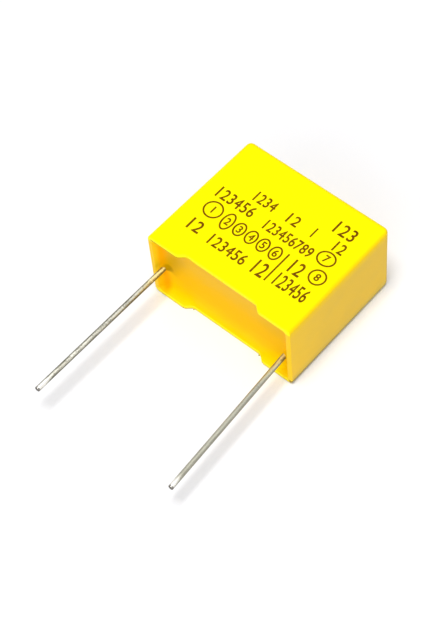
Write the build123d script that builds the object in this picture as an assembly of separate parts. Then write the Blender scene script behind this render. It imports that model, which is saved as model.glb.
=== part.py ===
from build123d import *
import os

# Polypropylene film capacitor in a moulded box, millimetres.
# It lies on one broad face with +Z up, the leads along -Y and the lead pitch along X.
# The origin is the centre of the broad face that it lies on.

# Wire leads
lead_pitch = 22.5            # between the two leads where they leave the resin
lead_diameter = 0.8
lead_press_in = 0.15         # how deep each lead is pressed into the sprayed metal
lead_bend_run = 0.75         # wire that the slight bend takes up, just inside the mouth
lead_tip_bevel = 0.12        # edge that the cutters pinched at the tip

# How each lead lies: height of its root, free length, and how far its tip leans out and drops
left_lead_height = 6.0
left_lead_length = 25.3
left_lead_splay = 0.15
left_lead_drop = 0.1
right_lead_height = 5.2
right_lead_length = 24.7
right_lead_splay = 1.5
right_lead_drop = 0.1

# Flattened roll of film, and the metal sprayed on its two ends
roll_thickness = 10.9
roll_height = 18.2
spray_thickness = 0.75
spray_edge_bevel = 0.2

# Resin round the roll
roll_side_gap = 0.5          # between the roll and each broad wall
roll_back_gap = 0.7          # between the roll and the closed end
resin_cover = 0.9            # over the roll on the mouth side

# Resin surface
resin_below_cutback = 0.3
meniscus_radius = 0.5        # along the walls
collar_radius = 0.42         # round each lead
resin_lip = 0.04             # thickness at which the resin ends on what it wets

# Moulded case
wall = 0.8
closed_end = 1.0
lead_wall_gap = 0.55         # from a lead to the narrow wall beside it
side_draft = 0.2             # how far each narrow side leans in over the case's depth
corner_radius = 1.0          # along the four long edges
back_edge_radius = 1.2
inner_corner_radius = 0.8
inner_back_radius = 0.5
rim_edge_radius = 0.12

# Feet at the mouth, with the broad walls cut back between them
foot_length = 5.4
cutback_depth = 0.9
shoulder_run = 1.3
shoulder_radius = 0.7

# Sizes that follow
lead_radius = lead_diameter / 2
case_length = lead_pitch + lead_diameter + 2 * (lead_wall_gap + wall)
case_thickness = roll_thickness + 2 * (roll_side_gap + wall)
resin_depth = cutback_depth + resin_below_cutback
case_height = resin_depth + resin_cover + roll_height + roll_back_gap + closed_end
film_width = lead_pitch - 2 * (lead_radius + spray_thickness - lead_press_in)
mouth_y = -case_height / 2
back_y = case_height / 2
cavity_back_y = back_y - closed_end
resin_y = mouth_y + resin_depth
roll_y = resin_y + resin_cover + roll_height / 2
mid_z = case_thickness / 2


def edges_at(shape, y):
    return shape.edges().filter_by_position(Axis.Y, y - 0.001, y + 0.001)


def drafted_block(inset, radius, front_y, end_y):
    """The case's tapering form between two depths, set in by an inset all round."""

    def half_width(y):
        return case_length / 2 - inset - side_draft * (y - mouth_y) / case_height

    outline = Polyline(
        (-half_width(front_y), front_y),
        (half_width(front_y), front_y),
        (half_width(end_y), end_y),
        (-half_width(end_y), end_y),
        close=True,
    )
    base = Pos(0, 0, inset) * make_face(outline)
    block = extrude(base, case_thickness - 2 * inset, dir=(0, 0, 1))
    long_edges = block.edges().filter_by(lambda edge: abs(edge.tangent_at(0.5).Y) > 0.5)
    return fillet(long_edges, radius)


def make_cutback():
    """What the broad walls lose between the feet, with rounded shoulders."""
    half_rim = case_length / 2 - foot_length
    half_floor = half_rim - shoulder_run
    floor_y = mouth_y + cutback_depth
    outline = Polyline(
        (-half_rim - shoulder_run, mouth_y - cutback_depth),
        (-half_rim - shoulder_run, mouth_y),
        (-half_rim, mouth_y),
        (-half_floor, floor_y),
        (half_floor, floor_y),
        (half_rim, mouth_y),
        (half_rim + shoulder_run, mouth_y),
        (half_rim + shoulder_run, mouth_y - cutback_depth),
        close=True,
    )
    profile = make_face(outline)
    bends = [v for v in profile.vertices() if abs(v.X) < half_rim + shoulder_run / 2]
    profile = fillet(bends, shoulder_radius)
    return extrude(profile, case_thickness, dir=(0, 0, 1))


def outer_rim_edges(shell):
    """The rim's outer edges, without those that run across the cut-back."""
    front = shell.edges().filter_by_position(Axis.Y, mouth_y - 1, mouth_y + cutback_depth)
    across_cutback = case_length / 2 - corner_radius
    return [
        edge
        for edge in front
        if abs(edge.center().X) > across_cutback or abs(edge.center().Z - mid_z) > mid_z / 2
    ]


def make_cavity():
    """The inside of the case, from outside its mouth to the closed end."""
    inside = drafted_block(wall, inner_corner_radius, mouth_y - wall, cavity_back_y)
    return fillet(edges_at(inside, cavity_back_y), inner_back_radius)


def make_case(cavity, cutback):
    shell = drafted_block(0, corner_radius, mouth_y, back_y)
    shell = fillet(edges_at(shell, back_y), back_edge_radius)
    shell -= cutback
    shell = fillet(outer_rim_edges(shell), rim_edge_radius)
    return shell - cavity


def make_roll_section():
    """The flattened roll's section, at the middle of its width."""
    straight = roll_height - roll_thickness
    plane = Plane(origin=(0, roll_y, mid_z), x_dir=(0, 1, 0), z_dir=(1, 0, 0))
    return plane * SlotCenterToCenter(straight, roll_thickness)


def make_spray(section, side, lead):
    """The metal sprayed on one end of the roll, with the lead pressed into it."""
    inner_x = side * film_width / 2
    layer = extrude(Pos(inner_x, 0, 0) * section, spray_thickness, dir=(side, 0, 0))
    outer = layer.faces().sort_by(Axis.X)[-1 if side > 0 else 0]
    layer = chamfer(outer.edges(), spray_edge_bevel)
    return layer - lead


def make_lead(side, height, length, splay, drop):
    """A round wire from the middle of the sprayed end, bent a little, out to its cut tip."""
    x = side * lead_pitch / 2
    root = Vector(x, roll_y, height)
    bend = Vector(x, mouth_y + lead_bend_run / 2, height)
    tip = Vector(x + side * splay, mouth_y - length, height - drop)
    bend_start = bend + Vector(0, lead_bend_run / 2, 0)
    bend_end = bend + (tip - bend).normalized() * (lead_bend_run / 2)
    path = Line(root, bend_start) + Bezier(bend_start, bend, bend_end) + Line(bend_end, tip)
    wire = sweep(Plane(origin=root, z_dir=(0, -1, 0)) * Circle(lead_radius), path)
    tip_edge = wire.edges().sort_by(Axis.Y)[0]
    return chamfer(tip_edge, lead_tip_bevel)


def make_collar(side, height):
    """Resin that climbs a lead, thinning out along a hollow curve."""
    x = side * lead_pitch / 2
    plane = Plane(origin=(x, resin_y, height), x_dir=(1, 0, 0), z_dir=(0, 0, 1))
    top = lead_radius + resin_lip
    foot = top + collar_radius
    hollow = CenterArc((foot, -collar_radius), collar_radius, 90, 90)
    outline = [
        Line((foot, 0), (foot, collar_radius)),
        Line((foot, collar_radius), (0, collar_radius)),
        Line((0, collar_radius), (0, -collar_radius)),
        Line((0, -collar_radius), (top, -collar_radius)),
        hollow,
    ]
    profile = plane * make_face(outline)
    return revolve(profile, Axis((x, resin_y, height), (0, 1, 0)))


def make_potting(cavity, cutback, collars, held):
    """Resin that fills the case round all it holds, with a hollow surface."""
    top_y = resin_y - meniscus_radius
    filled = split(cavity, Plane(origin=(0, top_y, 0), z_dir=(0, 1, 0)), keep=Keep.TOP)
    inset = wall + resin_lip
    radius = inner_corner_radius - resin_lip
    hollow = drafted_block(inset, radius, mouth_y - wall, resin_y)
    hollow = fillet(edges_at(hollow, resin_y), meniscus_radius)
    resin = filled - hollow - cutback
    for collar in collars:
        resin += collar
    for piece in held:
        resin -= piece
    return resin


cavity = make_cavity()
cutback = make_cutback()
section = make_roll_section()
lead_left = make_lead(
    -1, left_lead_height, left_lead_length, left_lead_splay, left_lead_drop
)
lead_right = make_lead(
    1, right_lead_height, right_lead_length, right_lead_splay, right_lead_drop
)
wound_film = extrude(section, film_width / 2, both=True)
end_spray_left = make_spray(section, -1, lead_left)
end_spray_right = make_spray(section, 1, lead_right)
collars = [make_collar(-1, left_lead_height), make_collar(1, right_lead_height)]
held = [wound_film, end_spray_left, end_spray_right, lead_left, lead_right]

nodes = {
    "case": make_case(cavity, cutback),
    "potting": make_potting(cavity, cutback, collars, held),
    "wound_film": wound_film,
    "end_spray_left": end_spray_left,
    "end_spray_right": end_spray_right,
    "lead_left": lead_left,
    "lead_right": lead_right,
}

os.makedirs("parts", exist_ok=True)
for name, shape in nodes.items():
    shape.label = name
    export_step(shape, f"parts/{name}.step")
    print(name, round(shape.volume, 2), "mm3")
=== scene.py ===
# %% [markdown]
# # A film capacitor in a yellow box
# The part is a film capacitor of the kind that sits across the mains input of an appliance. A
# flattened roll of metallised film lies in a moulded box, resin seals the box's mouth, and two
# tinned wires come out of the resin. It lies on one broad face, with the wires towards -Y and
# +Z up.
# The solids come from the packed model, which is the frame: nothing here moves or resizes them.
# Pieces that show are modelled again with rounder edges and finer surfaces, and each stands in
# for its solid.

# %% Load the frame
import math

import bmesh
import bpy
from mathutils import Matrix, Vector


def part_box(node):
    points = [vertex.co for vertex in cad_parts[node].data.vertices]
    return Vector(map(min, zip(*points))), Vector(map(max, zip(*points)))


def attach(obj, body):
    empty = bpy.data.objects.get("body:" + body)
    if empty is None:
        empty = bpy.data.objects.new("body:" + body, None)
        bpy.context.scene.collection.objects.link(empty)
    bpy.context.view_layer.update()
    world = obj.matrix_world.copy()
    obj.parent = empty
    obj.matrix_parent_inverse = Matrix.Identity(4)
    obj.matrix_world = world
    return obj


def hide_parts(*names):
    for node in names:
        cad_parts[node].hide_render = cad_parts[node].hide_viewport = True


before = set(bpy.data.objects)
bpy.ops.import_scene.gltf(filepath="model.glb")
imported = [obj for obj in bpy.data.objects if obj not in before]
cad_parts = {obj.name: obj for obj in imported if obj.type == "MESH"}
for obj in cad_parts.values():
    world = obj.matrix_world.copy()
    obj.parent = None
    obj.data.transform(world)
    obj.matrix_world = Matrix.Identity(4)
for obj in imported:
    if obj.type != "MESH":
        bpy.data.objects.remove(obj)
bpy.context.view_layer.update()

# %% [markdown]
# ## Working in millimetres
# Blender counts in metres, and the bevel tool loses accuracy on edges a tenth of a millimetre
# wide. Each mesh is therefore shaped in millimetres and shrunk a thousand times as its last step,
# so that its place ends up in its vertices and its object stays at the origin.

# %% Units and a finishing helper
MM = 0.001
SMALL = 1e-4  # places that are closer than this, in millimetres, count as one


def in_mm(corner):
    """A corner from the frame, in millimetres."""
    return Vector(corner) / MM


def finish_piece(name, bm, material, smooth=True):
    """Turns a shape in millimetres into a piece that rides with the body."""
    bmesh.ops.recalc_face_normals(bm, faces=bm.faces)
    bmesh.ops.scale(bm, vec=(MM, MM, MM), verts=bm.verts)
    mesh = bpy.data.meshes.new(name)
    bm.to_mesh(mesh)
    bm.free()
    mesh.materials.append(material)
    mesh.polygons.foreach_set("use_smooth", [smooth] * len(mesh.polygons))
    piece = bpy.data.objects.new(name, mesh)
    bpy.context.scene.collection.objects.link(piece)
    if smooth:
        normals = piece.modifiers.new("even_shading", "WEIGHTED_NORMAL")
        normals.keep_sharp = True
    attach(piece, "root")
    print(name, len(mesh.polygons), "faces")
    return piece


# %% [markdown]
# ## Shader maths that reads like Python
# A material is a network of small nodes. Wrapping a node's output in a class with + - * lets a
# pattern be written as a formula, and each sign adds the Math node for it. Everything that isn't
# a sum comes from one method, node(), which sets a node's options first and its sockets after.

# %% A recipe for a material
class Flow:
    """One output of a node, which can be reckoned with."""

    def __init__(self, recipe, socket):
        self.recipe = recipe
        self.socket = socket

    def maths(self, operation, *values):
        node = self.recipe.node("ShaderNodeMath", {"operation": operation}, dict(enumerate(values)))
        return Flow(self.recipe, node.outputs[0])

    def __add__(self, other):
        return self.maths("ADD", self, other)

    def __radd__(self, other):
        return self.maths("ADD", other, self)

    def __sub__(self, other):
        return self.maths("SUBTRACT", self, other)

    def __rsub__(self, other):
        return self.maths("SUBTRACT", other, self)

    def __mul__(self, other):
        return self.maths("MULTIPLY", self, other)

    def __rmul__(self, other):
        return self.maths("MULTIPLY", other, self)

    def __abs__(self):
        return self.maths("ABSOLUTE", self)

    def step(self, start, end):
        """0 before start and 1 after end, with a soft change between."""
        node = self.recipe.node(
            "ShaderNodeMapRange", {"interpolation_type": "SMOOTHSTEP"}, {0: self, 1: start, 2: end}
        )
        return Flow(self.recipe, node.outputs[0])

    def window(self, start, full, fading, end):
        """1 from full to fading, with a soft rise from start and a soft fall to end."""
        return self.step(start, full) * (1 - self.step(fading, end))


class Recipe:
    """A material with one glossy or metal surface, built from a few named patterns."""

    def __init__(self, name):
        self.material = bpy.data.materials.new(name)
        self.material.use_nodes = True
        self.tree = self.material.node_tree
        self.tree.nodes.clear()
        place = self.node("ShaderNodeTexCoord").outputs["Object"]
        sockets = {0: place, "Scale": 1 / MM}
        scaled = self.node("ShaderNodeVectorMath", {"operation": "SCALE"}, sockets)
        self.place = scaled.outputs[0]

    def node(self, kind, settings=None, sockets=None):
        """A node of that kind, its settings made first and its sockets filled after."""
        node = self.tree.nodes.new(kind)
        for setting, value in (settings or {}).items():
            setattr(node, setting, value)
        for name, value in (sockets or {}).items():
            source = value.socket if isinstance(value, Flow) else value
            if isinstance(source, bpy.types.NodeSocket):
                self.tree.links.new(source, node.inputs[name])
            else:
                node.inputs[name].default_value = source
        return node

    def stretched(self, factors):
        """The place on the piece in millimetres, with each axis scaled."""
        sockets = {0: self.place, 1: factors}
        return self.node("ShaderNodeVectorMath", {"operation": "MULTIPLY"}, sockets).outputs[0]

    def noise(self, size, detail=2.0, place=None):
        """Cloudy noise from 0 to 1, whose lumps are about size millimetres across."""
        sockets = {"Vector": place or self.place, "Scale": 1 / size, "Detail": detail}
        return Flow(self, self.node("ShaderNodeTexNoise", None, sockets).outputs["Fac"])

    def axis(self, name):
        """How far along X, Y or Z a spot is, in millimetres."""
        split = self.node("ShaderNodeSeparateXYZ", None, {0: self.place})
        return Flow(self, split.outputs[name])

    def facing(self, name):
        """How squarely the surface faces along X, Y or Z, from -1 to 1."""
        normal = self.node("ShaderNodeTexCoord").outputs["Normal"]
        split = self.node("ShaderNodeSeparateXYZ", None, {0: normal})
        return Flow(self, split.outputs[name])

    def blend(self, share, first, second):
        """A colour between two others. A Mix node's colours are inputs 6 and 7 and output 2."""
        settings = {"data_type": "RGBA", "clamp_factor": True}
        node = self.node("ShaderNodeMix", settings, {0: share, 6: first, 7: second})
        return Flow(self, node.outputs[2])

    def relief(self, height, depth):
        """Normals for a surface that rises by depth millimetres as height goes from 0 to 1."""
        node = self.node("ShaderNodeBump", None, {"Height": height, "Distance": depth * MM})
        return Flow(self, node.outputs["Normal"])

    def surface(self, **sockets):
        """Ends the recipe with a Principled surface and returns the material."""
        names = {name.replace("_", " ").title(): value for name, value in sockets.items()}
        names = {name.replace("Ior", "IOR"): value for name, value in names.items()}
        shader = self.node("ShaderNodeBsdfPrincipled", None, names)
        self.node("ShaderNodeOutputMaterial", None, {"Surface": shader.outputs[0]})
        return self.material


print("recipes can use:", [name for name in vars(Recipe) if not name.startswith("_")])

# %% [markdown]
# ## The camera
# The part is seen from its right, from the side of its wires and from well above, with a long
# lens a quarter of a metre away, so that its edges stay almost parallel. A camera can be turned
# by angles, but a frame of three axes is plainer here: back points from the part to the camera,
# and right and up are rolled round it by a few degrees.

# %% Place the camera
camera_azimuth = math.radians(47.17)
camera_elevation = math.radians(56.43)
camera_roll = math.radians(-7.0)
camera_distance = 0.2645
camera_target = Vector((-0.003672, -0.009429, 0.0))
camera_lens = 104.8
nearest_seen = 0.01

back = Vector((
    math.sin(camera_azimuth) * math.cos(camera_elevation),
    -math.cos(camera_azimuth) * math.cos(camera_elevation),
    math.sin(camera_elevation),
))
level_right = Vector((0, 0, 1)).cross(back).normalized()
right = Matrix.Rotation(camera_roll, 3, back) @ level_right
up = back.cross(right)
turn = Matrix((right, up, back)).transposed().to_4x4()

camera_data = bpy.data.cameras.new("camera")
camera_data.lens = camera_lens
camera_data.clip_start = nearest_seen
camera = bpy.data.objects.new("camera", camera_data)
camera.matrix_world = Matrix.Translation(camera_target + back * camera_distance) @ turn
bpy.context.scene.collection.objects.link(camera)
bpy.context.scene.camera = camera
bpy.context.scene.view_settings.view_transform = "Standard"
print("camera stands at", [round(v, 4) for v in camera.location])

# %% [markdown]
# ## Soft studio light
# A small bright part is lit by a softbox overhead, which gives each wire a soft shadow right
# below it. It leans a little towards the wires, so that the box's own shadow falls behind the
# box. A wider, weaker one stands low in front and fills the mouth. The levels add up to a little
# over one on the broad face, because then every colour comes out about as it was mixed.
# The world gives the rest of the light. A ray that comes from the camera, or from a mirror, sees
# it as plain white, so the world's strength is raised for those rays alone.

# %% Softboxes and world
world_level = 0.38
seen_level = 1.0


def softbox(name, direction, distance, side, level):
    """A square lamp aimed at the part, which lights a surface that faces it to the given level."""
    lamp = bpy.data.lights.new(name, "AREA")
    lamp.size = side
    lamp.energy = level * math.pi**2 * distance**2
    holder = bpy.data.objects.new(name, lamp)
    towards = Vector(direction).normalized()
    holder.location = towards * distance
    holder.rotation_euler = towards.to_track_quat("Z", "Y").to_euler()
    bpy.context.scene.collection.objects.link(holder)
    print(name, "gives", round(lamp.energy, 2), "W")


softbox("overhead_softbox", direction=(0.04, -0.15, 1.0), distance=0.9, side=0.33, level=0.75)
softbox("front_softbox", direction=(0.40, -1.0, 0.45), distance=1.1, side=1.0, level=0.40)

world = bpy.data.worlds.new("studio")
world.use_nodes = True
bpy.context.scene.world = world
sky = world.node_tree
sky_light = sky.nodes["Background"]
sky_light.inputs["Color"].default_value = (1.0, 1.0, 1.0, 1.0)
rays = sky.nodes.new("ShaderNodeLightPath")
seen = sky.nodes.new("ShaderNodeMath")
seen.operation = "ADD"
sky.links.new(rays.outputs["Is Camera Ray"], seen.inputs[0])
sky.links.new(rays.outputs["Is Glossy Ray"], seen.inputs[1])
strength = sky.nodes.new("ShaderNodeMapRange")
strength.inputs["To Min"].default_value = world_level
strength.inputs["To Max"].default_value = seen_level
sky.links.new(seen.outputs[0], strength.inputs["Value"])
sky.links.new(strength.outputs[0], sky_light.inputs["Strength"])
print("world gives", world_level, "of white, and is seen at", seen_level)

# %% [markdown]
# ## The table
# The part lies on a white table top, which takes its shadow. The table comes out white too,
# because the light on it is a little more than its own grey takes away: any more would swallow
# the soft edges of the shadows. It is made in metres, since nothing on it is small.

# %% White table
table_side = 3.0


def make_table():
    chalk, milk = (0.877, 0.88, 0.90, 1), (0.887, 0.89, 0.91, 1)
    recipe = Recipe("white_table")
    paper = recipe.blend(recipe.noise(8.0), chalk, milk)
    material = recipe.surface(base_color=paper, roughness=0.9, specular_ior_level=0.0)
    bm = bmesh.new()
    bmesh.ops.create_grid(bm, x_segments=1, y_segments=1, size=table_side / 2)
    mesh = bpy.data.meshes.new("table")
    bm.to_mesh(mesh)
    bm.free()
    mesh.materials.append(material)
    table = bpy.data.objects.new("table", mesh)
    bpy.context.scene.collection.objects.link(table)
    print("table is", table_side, "m wide")


make_table()

# %% [markdown]
# ## The case's plastic
# The box is moulded in bright yellow plastic. Up close its skin is very slightly grained by the
# mould, and the pigment isn't quite even, so the colour drifts by a few percent over millimetres.
# The broad faces are lemon and the narrow sides are warmer, which is painted light: it is one
# plastic, lit differently on each face. Painted shade makes the narrow sides duller towards the
# closed end and the table, painted light makes them orange under their top edge, and the rim is
# painted lighter along its top and its bottom, with a painted shadow line along the table. A thin
# brown line of painted shade lies under the rim's top at the left foot, and a dark painted contact
# shadow where the right side meets the table.
# Real scattering under the skin and real shadows could give that, but the exported model would
# lose it. Here the place of a spot, in millimetres, and the way it faces choose between a few
# yellows, and a fine relief breaks up the gloss.

# %% Yellow moulded plastic
def narrow_side_colour(recipe, drift):
    """Amber, with painted shade towards the closed end and the table, and painted orange light on
    top.
    """
    amber, drift_and_shade_amber = (1.0, 0.63, 0.035, 1), (0.85, 0.56, 0.06, 1)
    orange, low_shade_ochre = (0.99, 0.66, 0.005, 1), (0.66, 0.50, 0.11, 1)
    height = recipe.axis("Z")
    back_part = recipe.axis("Y").step(-11.0, -2.0)
    colour = recipe.blend(drift * 0.3 + back_part * 0.7, amber, drift_and_shade_amber)
    colour = recipe.blend(height.step(11.2, 12.9), colour, orange)
    # Painted shade low down, towards the table.
    return recipe.blend((1 - height.step(0.2, 2.6)) * 0.8, colour, low_shade_ochre)


def rim_colour(recipe):
    """Honey, painted lighter at top and bottom, with painted shadow lines at the table and left foot.
    """
    honey, lemon, straw = (0.94, 0.60, 0.02, 1), (0.99, 0.90, 0.01, 1), (0.97, 0.77, 0.02, 1)
    shade_olive, brown = (0.55, 0.43, 0.10, 1), (0.56, 0.32, 0.0, 1)
    height = recipe.axis("Z")
    colour = recipe.blend(height.step(12.3, 12.8), honey, lemon)
    colour = recipe.blend(height.step(0.6, 1.4), straw, colour)
    colour = recipe.blend(height.step(0.18, 0.34), shade_olive, colour)
    # A thin brown line of painted shade under the rim's top at the left foot.
    left_foot = recipe.axis("X").window(-12.5, -12.1, -7.5, -4.0)
    under_top = height.window(12.6, 12.7, 12.88, 13.02)
    return recipe.blend(under_top * left_foot, colour, brown)


def right_foot_line(recipe):
    """Painted contact shadow where the right side meets the table: strongest near the mouth."""
    height = recipe.axis("Z")
    low_down = (0.5 + 0.5 * height.step(0.3, 0.6)) * (1 - height.step(0.8, 1.1))
    right_side = recipe.axis("X").step(12.2, 12.6)
    return low_down * right_side * (1 - 0.4 * recipe.axis("Y").step(-6.0, 8.0))


def make_case_plastic():
    lemon, deep_lemon, contact_shadow_umber = (0.97, 0.88, 0.0, 1), (0.96, 0.83, 0.0, 1), (0.36, 0.22, 0.02, 1)
    recipe = Recipe("yellow_moulded_plastic")
    drift = recipe.noise(5.0, detail=3.0).step(0.3, 0.7)
    facing_up, facing_left = recipe.facing("Z"), 0 - recipe.facing("X")
    # Painted light: the broad faces are lemon, and so is the rounded edge between the upper one
    # and the left side; the other faces take the warmer, shaded side and rim colours.
    broad_face = (facing_up * facing_up).step(0.0, 0.95)
    left_edge = facing_left.step(0.3, 0.6) * facing_up.step(0.1, 0.4)
    rim_face = (0 - recipe.facing("Y")).step(0.1, 0.7)
    skin = recipe.blend(rim_face, narrow_side_colour(recipe, drift), rim_colour(recipe))
    skin = recipe.blend(broad_face + left_edge, skin, recipe.blend(drift, lemon, deep_lemon))
    grain = recipe.noise(0.16, detail=2.0)
    wave = recipe.noise(2.5, detail=1.0)
    # The dark line at the right side's foot is a painted contact shadow.
    return recipe.surface(
        base_color=recipe.blend(right_foot_line(recipe), skin, contact_shadow_umber),
        roughness=0.38 + 0.12 * grain,
        specular_ior_level=0.04,
        normal=recipe.relief(grain * 0.25 + wave, 0.03),
    )


case_plastic = make_case_plastic()
print("made", case_plastic.name)

# %% [markdown]
# ## The case's sizes
# The outside comes from the solid, so that the case can't outgrow it. The rest is measured in
# millimetres, as on a moulder's drawing: the walls, the closed end, the draft that lets the case
# leave the mould, and the radius of each kind of edge. The ink gets a hundredth of a millimetre.

# %% Sizes of the case
case_low, case_high = [in_mm(corner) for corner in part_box("case")]
middle_z = (case_low.z + case_high.z) / 2
wall = 0.8
closed_end = 1.0
side_draft = 0.2
edge_radius = 0.9
inner_radius = 0.55
ink_thickness = 0.01
print("the case measures", [round(side, 2) for side in case_high - case_low], "mm")

# %% [markdown]
# ## The case's block and cavity
# The case is one shell: a block with rounded edges that narrows a little towards its closed end,
# and a cavity of the same form inside it. It could be cut with booleans, but two bevelled blocks
# joined at the mouth give even strips of faces, which shade better. Two loops that lie in one
# plane can be bridged the wrong way round, so the cavity starts half a millimetre deeper and its
# mouth is pulled forward afterwards. The block stays lower than the solid by the thickness of the
# ink that is laid on top.

# %% Shell of the case
bridge_gap = 0.5


def round_edges(bm, edges, radius, segments):
    bmesh.ops.bevel(
        bm, geom=edges, offset=radius, offset_type="OFFSET", segments=segments, profile=0.5,
        affect="EDGES", material=-1,
    )


def rounded_block(low, high, radius):
    """A block open at -Y, whose other edges are rounded and whose narrow sides lean in."""
    bm = bmesh.new()
    bmesh.ops.create_cube(bm, size=1.0)
    bmesh.ops.scale(bm, vec=high - low, verts=bm.verts)
    bmesh.ops.translate(bm, vec=(low + high) / 2, verts=bm.verts)
    for vert in bm.verts:
        lean = side_draft * (vert.co.y - case_low.y) / (case_high.y - case_low.y)
        vert.co.x -= math.copysign(lean, vert.co.x)
    mouth = [face for face in bm.faces if face.normal.y < -0.5]
    rounded = [edge for edge in bm.edges if edge not in mouth[0].edges[:]]
    round_edges(bm, rounded, radius, segments=8)
    mouth = [face for face in bm.faces if all(v.co.y < low.y + SMALL for v in face.verts)]
    bmesh.ops.delete(bm, geom=mouth, context="FACES_ONLY")
    return bm


def make_shell():
    """The block and its cavity, joined round the mouth."""
    block_high = Vector((case_high.x, case_high.y, case_high.z - ink_thickness))
    bm = rounded_block(case_low, block_high, edge_radius)
    cavity_low = case_low + Vector((wall, bridge_gap, wall))
    cavity_high = case_high - Vector((wall, closed_end, wall))
    cavity = rounded_block(cavity_low, cavity_high, inner_radius)
    lining = bpy.data.meshes.new("lining")
    cavity.to_mesh(lining)
    cavity.free()
    bm.from_mesh(lining)
    bpy.data.meshes.remove(lining)
    bmesh.ops.bridge_loops(bm, edges=[edge for edge in bm.edges if edge.is_boundary])
    bmesh.ops.recalc_face_normals(bm, faces=bm.faces)
    for vert in bm.verts:
        if vert.co.y < cavity_low.y + SMALL:
            vert.co.y = case_low.y
    return bm


shell = make_shell()
print("shell has", len(shell.faces), "faces")

# %% [markdown]
# ## The case's mouth
# Each broad wall is cut back between two feet, with a soft shoulder at each foot, so that air and
# flux can pass when the part stands on a board. Cutting that with a block would leave ragged
# faces. Here the walls get a row of cuts across at each shoulder, and the rim's points slide
# along them, which changes nothing but the outline. Last, the rim's edges are broken: more on the
# outside, where the mould is polished, than on the inside.

# %% Feet and rim of the case
foot_length = 5.4
cutback_depth = 0.9
shoulder_run = 1.5
shoulder_cuts = 12
rim_radius = 0.22
mouth_radius = 0.12
half_rim = case_high.x - foot_length


def cutback(x):
    """How far the broad walls are cut back at x: nothing at the feet, and soft beside them."""
    share = min(max((half_rim - abs(x)) / shoulder_run, 0.0), 1.0)
    return cutback_depth * share * share * (3 - 2 * share)


def cut_back(bm):
    """Slides the rim back between the feet."""
    for side in (-1, 1):
        for i in range(shoulder_cuts + 1):
            place = (side * (half_rim - shoulder_run * i / shoulder_cuts), 0, 0)
            everything = bm.verts[:] + bm.edges[:] + bm.faces[:]
            bmesh.ops.bisect_plane(
                bm, geom=everything, plane_co=place, plane_no=(1, 0, 0), dist=SMALL
            )
    for vert in bm.verts:
        if vert.co.y < case_low.y + SMALL:
            vert.co.y += cutback(vert.co.x)


def break_rim(bm):
    """Rounds the rim's outer and inner edges."""
    deepest = case_low.y + cutback_depth + SMALL
    rim = {face for face in bm.faces if all(vert.co.y < deepest for vert in face.verts)}
    inner, outer = [], []
    for edge in bm.edges:
        if sum(face in rim for face in edge.link_faces) == 1:
            spot = (edge.verts[0].co + edge.verts[1].co) / 2
            outside = max(abs(spot.x) - case_high.x, abs(spot.z - middle_z) - middle_z)
            (outer if outside > -wall / 2 else inner).append(edge)
    round_edges(bm, outer, rim_radius, segments=4)
    round_edges(bm, inner, mouth_radius, segments=4)


cut_back(shell)
break_rim(shell)
case = finish_piece("moulded_case", shell, case_plastic)
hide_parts("case")

# %% [markdown]
# ## The resin's finish
# The cavity is filled with a warm yellow epoxy that is poured in last. Its tones are painted light:
# it is clearer than the case, so it is painted lighter low down, where light from the table comes
# in under it, duller high up in the shade of the upper wall, and orange in a band beside each
# narrow wall, where the light has passed through the plastic. Its lip, where it has crept up to the
# rim, is paler. Next to the left wire a painted shade runs up along a slant, and a round patch of
# painted shade shows just right of and above each wire.
# A see-through volume would be slow and would not export, so these tones are mixed from the place
# on the surface, in millimetres, with soft steps that overlap.

# %% Resin material
lead_pitch = 22.5
lead_radius = 0.4
leads = {
    "left": {"side": -1, "height": 6.0, "length": 25.3, "splay": 0.15},
    "right": {"side": 1, "height": 5.2, "length": 24.7, "splay": 1.495},
}


def wire_shade(recipe):
    """The slanting painted shade that starts at the left wire and runs up to the right."""
    slant_x, slant_z = 0.44, 0.90
    beside = recipe.axis("X") + lead_pitch / 2
    above = recipe.axis("Z") - leads["left"]["height"]
    along = beside * slant_x + above * slant_z
    across = beside * slant_z - above * slant_x
    return (1 - abs(across - 0.4).step(0.1, 2.4)) * along.window(-0.6, 0.3, 1.5, 8.5)


def wire_collars(recipe):
    """A round painted shade at each wire, a little to its right and above it."""
    middle_height = (leads["left"]["height"] + leads["right"]["height"]) / 2
    fall = (leads["left"]["height"] - leads["right"]["height"]) / lead_pitch
    x, z = recipe.axis("X"), recipe.axis("Z")
    beside = abs(x - 0.55) - lead_pitch / 2
    above = z - (middle_height + 0.2) + fall * x
    return 1 - (beside * beside + above * above).step(0.1, 1.1)


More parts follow.
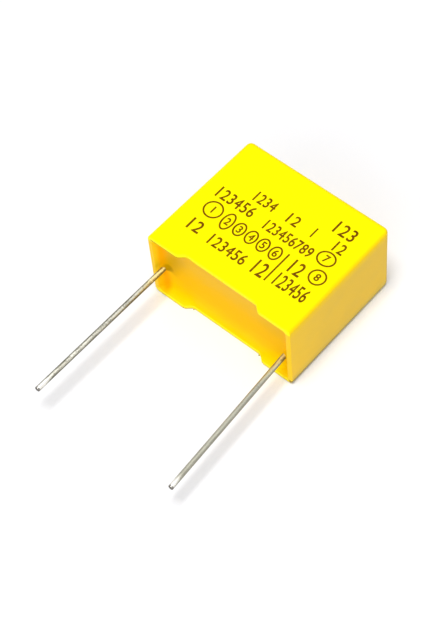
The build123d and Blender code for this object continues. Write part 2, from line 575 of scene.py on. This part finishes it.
def make_resin_finish():
    gold, honey, shaded_gold = (0.93, 0.62, 0.0, 1), (0.93, 0.50, 0.0, 1), (0.87, 0.49, 0.012, 1)
    orange, pale_gold, shade_olive = (0.98, 0.42, 0.0, 1), (0.95, 0.66, 0.01, 1), (0.45, 0.25, 0.0, 1)
    recipe = Recipe("yellow_casting_resin")
    x, z = recipe.axis("X"), recipe.axis("Z")
    streaks = recipe.noise(3.0, detail=2.0, place=recipe.stretched((1.0, 1.0, 2.2)))
    height = z + 2.0 * (streaks - 0.5)
    # Painted light low down and painted shade high up under the upper wall, shifted by streaks.
    colour = recipe.blend(height.step(0.5, 5.5), gold, honey)
    colour = recipe.blend(height.step(6.0, 10.5), colour, shaded_gold)
    outward = abs(x) + 0.08 * (z - 11.0) + 0.8 * (1 - z.step(3.5, 6.0))
    band = outward.step(10.0, 11.3) * (1 - 0.7 * outward.step(11.5, 12.2))
    band = band * (1 - 0.6 * x.step(-1.0, 1.0)) * height.step(0.0, 2.0)
    colour = recipe.blend(band, colour, orange)
    lip = (1 - recipe.axis("Y").step(-10.9, -10.1)) * (0.35 + 0.65 * z.step(3.0, 6.0))
    colour = recipe.blend(lip, colour, pale_gold)
    # Painted shade along the left wire's slant and round each wire.
    shade = wire_shade(recipe) * 0.5 + wire_collars(recipe) * 0.45
    ripple = recipe.noise(1.4, detail=2.0)
    return recipe.surface(
        base_color=recipe.blend(shade, colour, shade_olive),
        roughness=0.26 + 0.10 * ripple,
        specular_ior_level=0.01,
        coat_weight=0.1 * height.step(7.2, 10.8) * x.window(-11.5, -6.5, 9.9, 10.3),
        coat_roughness=0.12,
        normal=recipe.relief(ripple, 0.03),
    )


resin_finish = make_resin_finish()
print("made", resin_finish.name)

# %% [markdown]
# ## The resin's surface
# While the epoxy cures it creeps up the walls and up the wires, so its surface is hollow at every
# edge, and it shrinks, so the middle sinks a little. It could be sculpted by hand, but one formula
# for the height gives all of that at once: the climb falls off with the distance from the wall
# and from each wire, and it stays under the rim where the wall is cut back.

# %% How high the resin stands
resin_depth = 1.2
rim_gap = 0.06
wall_climb = 1.14
wall_reach = 0.5
wire_climb = 0.42
wire_reach = 0.22
middle_sag = 0.12
resin_overlap = 0.02
half_width = case_high.x - wall + resin_overlap
half_height = (case_high.z - case_low.z) / 2 - wall + resin_overlap


def climb(distance, height, reach):
    return height * math.exp(-max(distance, 0.0) / reach)


def resin_rise(x, z):
    """How far the resin stands towards the mouth at x and z, from the middle of the cavity."""
    corner_x = max(abs(x) - (half_width - inner_radius), 0.0)
    corner_z = max(abs(z) - (half_height - inner_radius), 0.0)
    if corner_x > 0 and corner_z > 0:
        from_wall = inner_radius - math.hypot(corner_x, corner_z)
    else:
        from_wall = min(half_width - abs(x), half_height - abs(z))
    rise = climb(from_wall, min(wall_climb, resin_depth - cutback(x) - rim_gap), wall_reach)
    for wire in leads.values():
        to_axis = math.hypot(x - wire["side"] * lead_pitch / 2, z + middle_z - wire["height"])
        rise += climb(to_axis - lead_radius, wire_climb, wire_reach)
    sag = (1 - (x / half_width) ** 2) * (1 - (z / half_height) ** 2)
    return rise - middle_sag * sag


print("resin rises", round(resin_rise(0, 0), 2), "mm at the middle")
print("resin rises", round(resin_rise(half_width, 0), 2), "mm at the right wall")

# %% [markdown]
# ## Pouring the resin
# A dense flat grid is stood upright in the mouth, its corners are rounded like the cavity's, and
# each of its points moves to the height that the formula gives. Its border is then drawn back to
# the closed end, which makes a block as deep as the real filling and not just a skin. It reaches
# a fiftieth of a millimetre into the walls, so that no gap shows.

# %% Pour the resin
grid_columns, grid_rows = 250, 124


def shape_surface(bm):
    """Rounds the grid's corners and lifts each point to the resin's surface."""
    corner = Vector((half_width - inner_radius, half_height - inner_radius))
    for vert in bm.verts:
        out = Vector((abs(vert.co.x), abs(vert.co.z))) - corner
        if out.x > 0 and out.y > 0 and out.length > inner_radius:
            spot = corner + out.normalized() * inner_radius
            vert.co.x = math.copysign(spot.x, vert.co.x)
            vert.co.z = math.copysign(spot.y, vert.co.z)
        vert.co.y = case_low.y + resin_depth - resin_rise(vert.co.x, vert.co.z)
        vert.co.z += middle_z


def make_resin():
    bm = bmesh.new()
    bmesh.ops.create_grid(bm, x_segments=grid_columns, y_segments=grid_rows, size=1.0)
    bmesh.ops.scale(bm, vec=(half_width, half_height, 1), verts=bm.verts)
    upright = Matrix.Rotation(math.pi / 2, 3, "X")
    bmesh.ops.rotate(bm, verts=bm.verts, cent=(0, 0, 0), matrix=upright)
    shape_surface(bm)
    border = [edge for edge in bm.edges if edge.is_boundary]
    for edge in border:
        edge.smooth = False
    grown = bmesh.ops.extrude_edge_only(bm, edges=border)
    for vert in [item for item in grown["geom"] if isinstance(item, bmesh.types.BMVert)]:
        vert.co.y = case_high.y - closed_end
        vert.co.x -= math.copysign(side_draft, vert.co.x)
    back_edges = [edge for edge in bm.edges if edge.is_boundary]
    bmesh.ops.holes_fill(bm, edges=back_edges, sides=0)
    resin = finish_piece("casting_resin", bm, resin_finish)
    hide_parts("potting")


make_resin()

# %% [markdown]
# ## The wires' finish
# Tinned copper is a soft metal that never stays a mirror. It carries fine dents from the feeder,
# and its tin is paler in some places than in others. A painted highlight runs along one line of
# each wire, with painted shade beside it, and near the resin the tin takes a painted gold
# reflection of the resin. Just before the end a painted highlight brightens it, and the cut end
# and its burr are dark.
# A plain metal under a white sky would look like chrome. Here the way the surface faces, shifted
# by long streaks and short specks, chooses between a dark, a middle and a bright tone. The right
# wire's painted highlight and shade are weaker than the left's.

# %% Tin with painted highlight and shade
def tin_tones(recipe, on_right, root, tip, dull):
    """The painted dark, middle and bright tones of both wires: shade, plain tin and highlight."""
    dark_tin, dark_right = (0.15, 0.145, 0.11, 1), (0.29, 0.28, 0.22, 1)
    middle_tin, right_tin = (0.40, 0.39, 0.32, 1), (0.48, 0.47, 0.38, 1)
    pale_tin, grey_tin = (0.80, 0.78, 0.68, 1), (0.60, 0.58, 0.48, 1)
    dark_gold, middle_gold = (0.20, 0.15, 0.04, 1), (0.50, 0.42, 0.16, 1)
    bright_gold, tip_highlight = (0.98, 0.94, 0.50, 1), (0.90, 0.88, 0.82, 1)
    dark = recipe.blend(root, recipe.blend(on_right, dark_tin, dark_right), dark_gold)
    middle = recipe.blend(root, middle_tin, middle_gold)
    bright = recipe.blend(dull.step(0.35, 0.7), pale_tin, grey_tin)
    bright = recipe.blend(on_right, bright, right_tin)
    bright = recipe.blend(root, bright, bright_gold)
    return dark, middle, recipe.blend(tip, bright, tip_highlight)


def make_rubbed_tin():
    dark_cut_end, dark_burr = (0.12, 0.11, 0.10, 1), (0.13, 0.12, 0.11, 1)
    shorter = leads["left"]["length"] - leads["right"]["length"]
    recipe = Recipe("painted_light_tin")
    dents = recipe.noise(0.30, detail=3.0, place=recipe.stretched((1.0, 0.14, 1.0)))
    specks = recipe.noise(0.22, detail=2.0)
    dull = recipe.noise(2.0, detail=3.0)
    on_right = recipe.axis("X").step(-3.0, 3.0)
    # Near the resin, the root takes a painted gold reflection of the resin.
    root = recipe.axis("Y").step(-16.5, -10.5) * (1 - 0.5 * on_right)
    # Just before the end of each wire, a painted highlight.
    tip = (0 - recipe.axis("Y")).step(33.0, 35.0)
    dark, middle, bright = tin_tones(recipe, on_right, root, tip, dull)
    # The painted highlight runs along the upper right of the left wire,
    # and nearly on top of the right one.
    painted_lighting = (0.42 - 0.32 * on_right) * recipe.facing("X") + 0.87 * recipe.facing("Z")
    painted_lighting = painted_lighting - 0.04 - 0.02 * on_right + 0.3 * tip + 0.06 * root
    painted_lighting = painted_lighting + 0.7 * (dents - 0.5) + 0.5 * (specks - 0.5)
    soft = painted_lighting + 0.14 * on_right
    tin = recipe.blend(soft.step(0.56, 0.86), dark, middle)
    tin = recipe.blend(soft.step(0.78, 0.98), tin, bright)
    tin = recipe.blend((0 - painted_lighting).step(0.0, 0.4), tin, middle)
    # The burr and the cut end are dark.
    burr = (shorter * on_right - recipe.axis("Y")).step(35.85, 36.1)
    tin = recipe.blend(burr * 0.85, tin, dark_burr)
    cut_end = (0 - recipe.facing("Y")).step(0.4, 0.8)
    return recipe.surface(
        base_color=recipe.blend(cut_end, tin, dark_cut_end),
        metallic=1 - 0.7 * root,
        roughness=0.22 + 0.14 * dull,
        normal=recipe.relief(dents, 0.03),
    )


painted_light_tin = make_rubbed_tin()
print("made", painted_light_tin.name)

# %% [markdown]
# ## The wires
# Each lead leaves the resin straight and spreads a little since it was handled, the right one
# more. Drawing a curve with a round bevel would do, but here a disc is drawn out along the wire's
# line, point by point, as wire is drawn in a mill, and its last edge is broken where the cutter
# pinched it. The wire starts deep in the box, at the middle of the roll, so that nothing hangs in
# the air behind the resin.

# %% Draw both wires
lead_steps = 24
lead_drop = 0.1
bend_depth = 0.3
tip_radius = 0.12


def lead_route(side, height, length, splay):
    """Points along a lead, from the middle of the roll out to the tip."""
    x = side * lead_pitch / 2
    roll_low, roll_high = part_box("wound_film")
    points = [Vector((x, in_mm((roll_low + roll_high) / 2).y, height))]
    for i in range(lead_steps + 1):
        share = i / lead_steps
        points.append(Vector((
            x + side * splay * share,
            case_low.y + bend_depth - (length + bend_depth) * share,
            height - lead_drop * share,
        )))
    return points


def make_lead(name, route):
    """A wire of round section that follows the route."""
    bm = bmesh.new()
    upright = Matrix.Rotation(math.pi / 2, 3, "X")
    bmesh.ops.create_circle(bm, cap_ends=True, radius=lead_radius, segments=32)
    bmesh.ops.rotate(bm, verts=bm.verts, cent=(0, 0, 0), matrix=upright)
    bmesh.ops.translate(bm, verts=bm.verts, vec=route[0])
    end = bm.faces[:][0]
    for here, there in zip(route, route[1:]):
        grown = bmesh.ops.extrude_face_region(bm, geom=[end])
        end = [item for item in grown["geom"] if isinstance(item, bmesh.types.BMFace)][0]
        bmesh.ops.translate(bm, verts=end.verts, vec=there - here)
    round_edges(bm, end.edges[:], tip_radius, segments=3)
    lead = finish_piece(name, bm, painted_light_tin)
    return lead


for which, shape in leads.items():
    lead = make_lead("lead_wire_" + which, lead_route(**shape))
    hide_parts("lead_" + which)

# %% [markdown]
# ## The marking's ink
# The print is a thin coat of brown ink, denser in some places than in others. It is matt, so two
# browns blended by fine noise are enough.

# %% Brown marking ink
def make_marking_ink():
    dense, thin = (0.14, 0.05, 0.0, 1), (0.24, 0.10, 0.0, 1)
    recipe = Recipe("brown_marking_ink")
    wear = recipe.noise(0.35, detail=3.0)
    return recipe.surface(
        base_color=recipe.blend(wear.step(0.35, 0.75), dense, thin),
        roughness=0.5 + 0.15 * wear,
        specular_ior_level=0.05,
    )


marking_ink = make_marking_ink()
print("made", marking_ink.name)

# %% [markdown]
# ## Digits for the marking
# The broad face carries rows of small brown print. An image would be simpler, but shapes stay
# sharp at any size. Blender's text objects give clean digits: each is made a mesh, stretched to
# its place in the row and made a little bolder by moving its outline.

# %% Shapes of the digits
bolder = 0.035
glyph_share = 0.80
merge_distance = 0.02


def lay_print(bm, marks):
    """Adds one mark's mesh to the print."""
    bm.from_mesh(marks)
    bpy.data.meshes.remove(marks)


def glyph(digit):
    """The mesh of one digit, its lower left corner at the origin, and its width and height."""
    curve = bpy.data.curves.new("digit", "FONT")
    curve.body = digit
    curve.resolution_u = 4
    writer = bpy.data.objects.new("digit", curve)
    bpy.context.scene.collection.objects.link(writer)
    shaped = writer.evaluated_get(bpy.context.evaluated_depsgraph_get())
    mesh = bpy.data.meshes.new_from_object(shaped)
    bpy.data.objects.remove(writer)
    bpy.data.curves.remove(curve)
    xs = [vert.co.x for vert in mesh.vertices]
    ys = [vert.co.y for vert in mesh.vertices]
    mesh.transform(Matrix.Translation((-min(xs), -min(ys), 0)))
    return mesh, max(xs) - min(xs), max(ys) - min(ys)


def embolden(bm, amount):
    """Moves the outlines of a flat mesh outwards, so that its strokes grow bolder."""
    moves = {}
    for vert in bm.verts:
        ways = []
        for edge in [edge for edge in vert.link_edges if edge.is_boundary]:
            loop = edge.link_loops[0]
            along = (loop.link_loop_next.vert.co - loop.vert.co).normalized()
            ways.append(along.cross(loop.face.normal))
        if len(ways) == 2:
            moves[vert] = (ways[0] + ways[1]) * amount / max(1 + ways[0].dot(ways[1]), 0.5)
    for vert, move in moves.items():
        vert.co += move


def digits(bm, text, left, right, foot, head):
    """Plain digits spread evenly over a place on the face."""
    cell = (right - left) / len(text)
    for place, digit in enumerate(text):
        mesh, width, height = glyph(digit)
        wide = cell * glyph_share / widest
        tall = (head - foot) / height
        start = left + cell * (place + 0.5) - width * wide / 2
        stretch = Matrix.Diagonal((wide, tall, 1, 1))
        mesh.transform(Matrix.Translation((start, foot, 0)) @ stretch)
        shape = bmesh.new()
        shape.from_mesh(mesh)
        bmesh.ops.remove_doubles(shape, verts=shape.verts, dist=merge_distance)
        bmesh.ops.recalc_face_normals(shape, faces=shape.faces)
        embolden(shape, bolder)
        shape.to_mesh(mesh)
        shape.free()
        lay_print(bm, mesh)


widest_glyph, widest = glyph("8")[:2]
bpy.data.meshes.remove(widest_glyph)
print("the widest digit is", round(widest, 2), "wide as written")

# %% [markdown]
# ## The marking
# The rows hold plain counts from one, and plain numbered rings, all in the same thin stroke. Each
# row is given by its text and its left, right, lower and upper edge in millimetres, and each ring
# by its middle and its two radii. They are listed one by one, as a printer's plate is set.

# %% Places of the print
ring_stroke = 0.252
ring_digit = (0.45, 0.6)
rows = (
    ("123", 6.2, 10.3, 5.6, 7.7),
    ("1234", -5.85, -1.75, 2.85, 4.6),
    ("12", 0.05, 2.55, 2.85, 4.6),
    ("1", 4.6, 5.5, 2.95, 4.7),
    ("12", 8.25, 10.5, 3.05, 4.85),
    ("123456", -10.6, -3.5, 0.15, 2.05),
    ("123456789", -1.6, 7.2, -0.05, 1.7),
    ("12", -10.25, -7.45, -6.5, -4.5),
    ("123456", -6.1, 0.85, -6.75, -4.9),
    ("12", 1.7, 4.25, -6.7, -4.25),
    ("123456", 5.45, 11.3, -6.35, -4.1),
    ("12", 5.6, 8.2, -3.45, -1.15),
)
rings = (
    (-8.55, -1.9, 1.55, 1.5),
    (-5.6, -2.2, 0.95, 1.6),
    (-3.4, -2.2, 0.95, 1.25),
    (-1.25, -2.2, 0.95, 1.25),
    (0.9, -2.2, 0.95, 1.25),
    (3.1, -2.2, 0.95, 1.25),
    (9.2, 1.45, 1.5, 1.3),
    (10.2, -1.7, 1.35, 1.35),
)
bar_place = (4.63, 4.88, -6.6, -1.1)
print(len(rows), "rows and", len(rings), "rings")

# %% [markdown]
# ## Laying the print
# A ring is an oval whose middle is inset and taken out, and a bar is one stretched square. All
# marks go into one flat mesh, which is drawn up at the end by the thickness of the ink, so that
# the print is a thin solid coat and not a picture on the face.

# %% Lay the print
def ring(bm, x, y, across, up):
    """A thin oval ring round x and y, with its two radii."""
    part = bmesh.new()
    bmesh.ops.create_circle(part, cap_ends=True, radius=1.0, segments=48)
    bmesh.ops.scale(part, vec=(across, up, 1), verts=part.verts)
    bmesh.ops.translate(part, vec=(x, y, 0), verts=part.verts)
    hole = part.faces[:]
    bmesh.ops.inset_region(
        part, faces=hole, thickness=ring_stroke, use_even_offset=True, use_boundary=True
    )
    bmesh.ops.delete(part, geom=hole, context="FACES")
    mesh = bpy.data.meshes.new("ring")
    part.to_mesh(mesh)
    part.free()
    lay_print(bm, mesh)


def bar(bm, left, right, foot, head):
    """A straight stroke."""
    part = bmesh.new()
    bmesh.ops.create_grid(part, x_segments=1, y_segments=1, size=0.5)
    bmesh.ops.scale(part, vec=(right - left, head - foot, 1), verts=part.verts)
    bmesh.ops.translate(part, vec=((left + right) / 2, (foot + head) / 2, 0), verts=part.verts)
    mesh = bpy.data.meshes.new("bar")
    part.to_mesh(mesh)
    part.free()
    lay_print(bm, mesh)


def make_print():
    half_wide, half_tall = ring_digit
    bm = bmesh.new()
    for row in rows:
        digits(bm, *row)
    for number, (x, y, across, up) in enumerate(rings, start=1):
        ring(bm, x, y, across, up)
        digits(bm, str(number), x - half_wide, x + half_wide, y - half_tall, y + half_tall)
    bar(bm, *bar_place)
    bmesh.ops.remove_doubles(bm, verts=bm.verts, dist=SMALL)
    bmesh.ops.translate(bm, vec=(0, 0, case_high.z - ink_thickness), verts=bm.verts)
    grown = bmesh.ops.extrude_face_region(bm, geom=bm.faces[:])
    raised = [item for item in grown["geom"] if isinstance(item, bmesh.types.BMVert)]
    bmesh.ops.translate(bm, vec=(0, 0, ink_thickness), verts=raised)
    marks = finish_piece("marking", bm, marking_ink, smooth=False)


make_print()

# %% [markdown]
# ## What the resin hides
# The roll and its sprayed ends don't show, but they stay in the model, so each gets its own
# finish: the film has the fine lines of its turns, and the sprayed zinc is grainy like a cast
# surface. Their shapes are the solids' own.

# %% Film and sprayed metal
def make_film():
    silver, grey = (0.72, 0.73, 0.74, 1), (0.58, 0.59, 0.61, 1)
    recipe = Recipe("metallised_film_edge")
    turns = recipe.noise(0.25, detail=2.0, place=recipe.stretched((0.02, 1.0, 1.0)))
    return recipe.surface(
        base_color=recipe.blend(turns, silver, grey),
        metallic=0.6,
        roughness=0.2 + 0.2 * turns,
        normal=recipe.relief(turns, 0.02),
    )


def make_sprayed_zinc():
    dark_zinc, pale_zinc = (0.45, 0.46, 0.47, 1), (0.62, 0.63, 0.64, 1)
    recipe = Recipe("sprayed_zinc")
    grains = recipe.noise(0.18, detail=4.0)
    return recipe.surface(
        base_color=recipe.blend(grains, dark_zinc, pale_zinc),
        metallic=0.9,
        roughness=0.55 + 0.25 * grains,
        normal=recipe.relief(grains, 0.06),
    )


def refinish(node, material):
    """Gives a node of the frame its own material."""
    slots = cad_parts[node].data.materials
    slots.clear()
    slots.append(material)
    print(node, "is now", material.name)


sprayed_zinc = make_sprayed_zinc()
refinish("wound_film", make_film())
refinish("end_spray_left", sprayed_zinc)
refinish("end_spray_right", sprayed_zinc)

# %% [markdown]
# ## Closing the file
# The visible part may not outgrow the solids.
